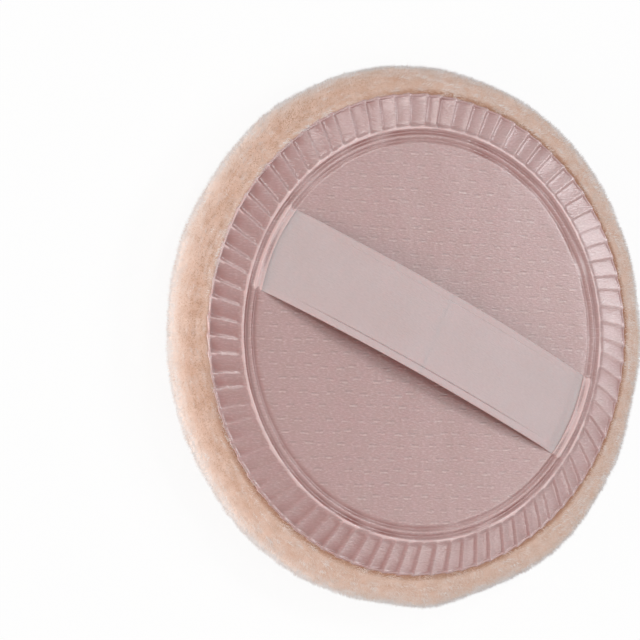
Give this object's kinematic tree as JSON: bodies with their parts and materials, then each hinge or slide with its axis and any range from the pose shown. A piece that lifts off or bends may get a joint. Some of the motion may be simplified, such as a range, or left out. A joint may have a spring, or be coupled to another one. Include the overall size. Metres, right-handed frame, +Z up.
{
  "type": "powder puff",
  "caption": "Round velour powder puff with a welded satin back, a fluted border and a ribbon finger band; the pad presses flatter and the band lifts.",
  "frame": {"origin": "middle of the flat on the velour face, where the puff lies on a surface", "axes": "+Z up out of the satin back, +X along the finger band"},
  "size_m": [0.08, 0.08, 0.0129],
  "materials": {
    "velour": "short soft peach pile",
    "foam": "open-cell cream sponge",
    "film": "thin translucent welding film",
    "satin": "dusty rose satin with a soft sheen",
    "ribbon": "smooth pale rose satin ribbon"
  },
  "bodies": {
    "face": {"plush_cover": "velour", "sponge_core": "foam"},
    "back": {"satin_back": "satin", "weld_film": "film", "band_end_left": "ribbon", "band_end_right": "ribbon"},
    "band": {"band_middle": "ribbon"}
  },
  "joints": [
    {"name": "press", "type": "slide", "parent": "face", "child": "back", "axis": [0, 0, 1], "range_m": [-0.004, 0], "stiffness_N_per_m": 600, "deforming": ["plush_cover", "sponge_core"]},
    {"name": "band_lift", "type": "slide", "parent": "back", "child": "band", "axis": [0, 0, 1], "range_m": [-0.0015, 0.005], "stiffness_N_per_m": 10, "deforming": ["band_end_left", "band_end_right"]}
  ]
}
